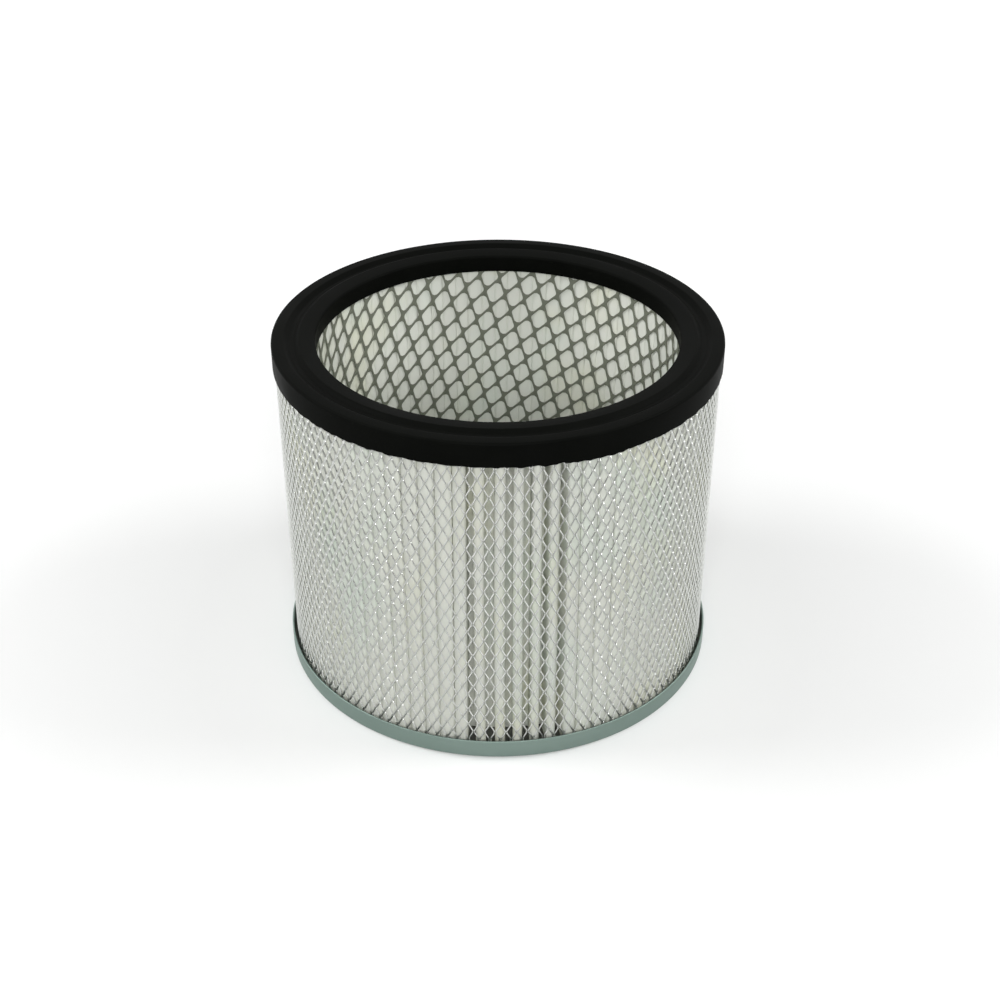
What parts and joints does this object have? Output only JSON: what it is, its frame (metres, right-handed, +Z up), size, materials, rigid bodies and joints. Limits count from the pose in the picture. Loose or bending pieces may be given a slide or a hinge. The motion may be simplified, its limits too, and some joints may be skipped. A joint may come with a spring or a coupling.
{
  "type": "vacuum filter cartridge",
  "caption": "Round pleated-paper filter cartridge held by expanded-metal sleeves, with an open soft seal ring on top and a closed metal pan below, for a vacuum cleaner's filter basket.",
  "frame": {"origin": "centre of the pan's underside, on the surface that the cartridge stands on", "axes": "+Z up along the cartridge's axis, towards the seal ring; X and Y across it"},
  "size_m": [0.1618, 0.1618, 0.129],
  "materials": {
    "seal_ring": "satin black cast polyurethane",
    "pan": "satin zinc-plated sheet",
    "adhesive": "set dark casting adhesive",
    "filter_paper": "matte filter paper",
    "outer_mesh": "bright expanded metal",
    "inner_mesh": "dull galvanised expanded metal"
  },
  "bodies": {
    "root": {"top_seal_ring": "seal_ring", "bottom_cap": "pan", "potting_bed": "adhesive", "pleated_media": "filter_paper", "outer_mesh": "outer_mesh", "inner_mesh": "inner_mesh"}
  },
  "joints": []
}
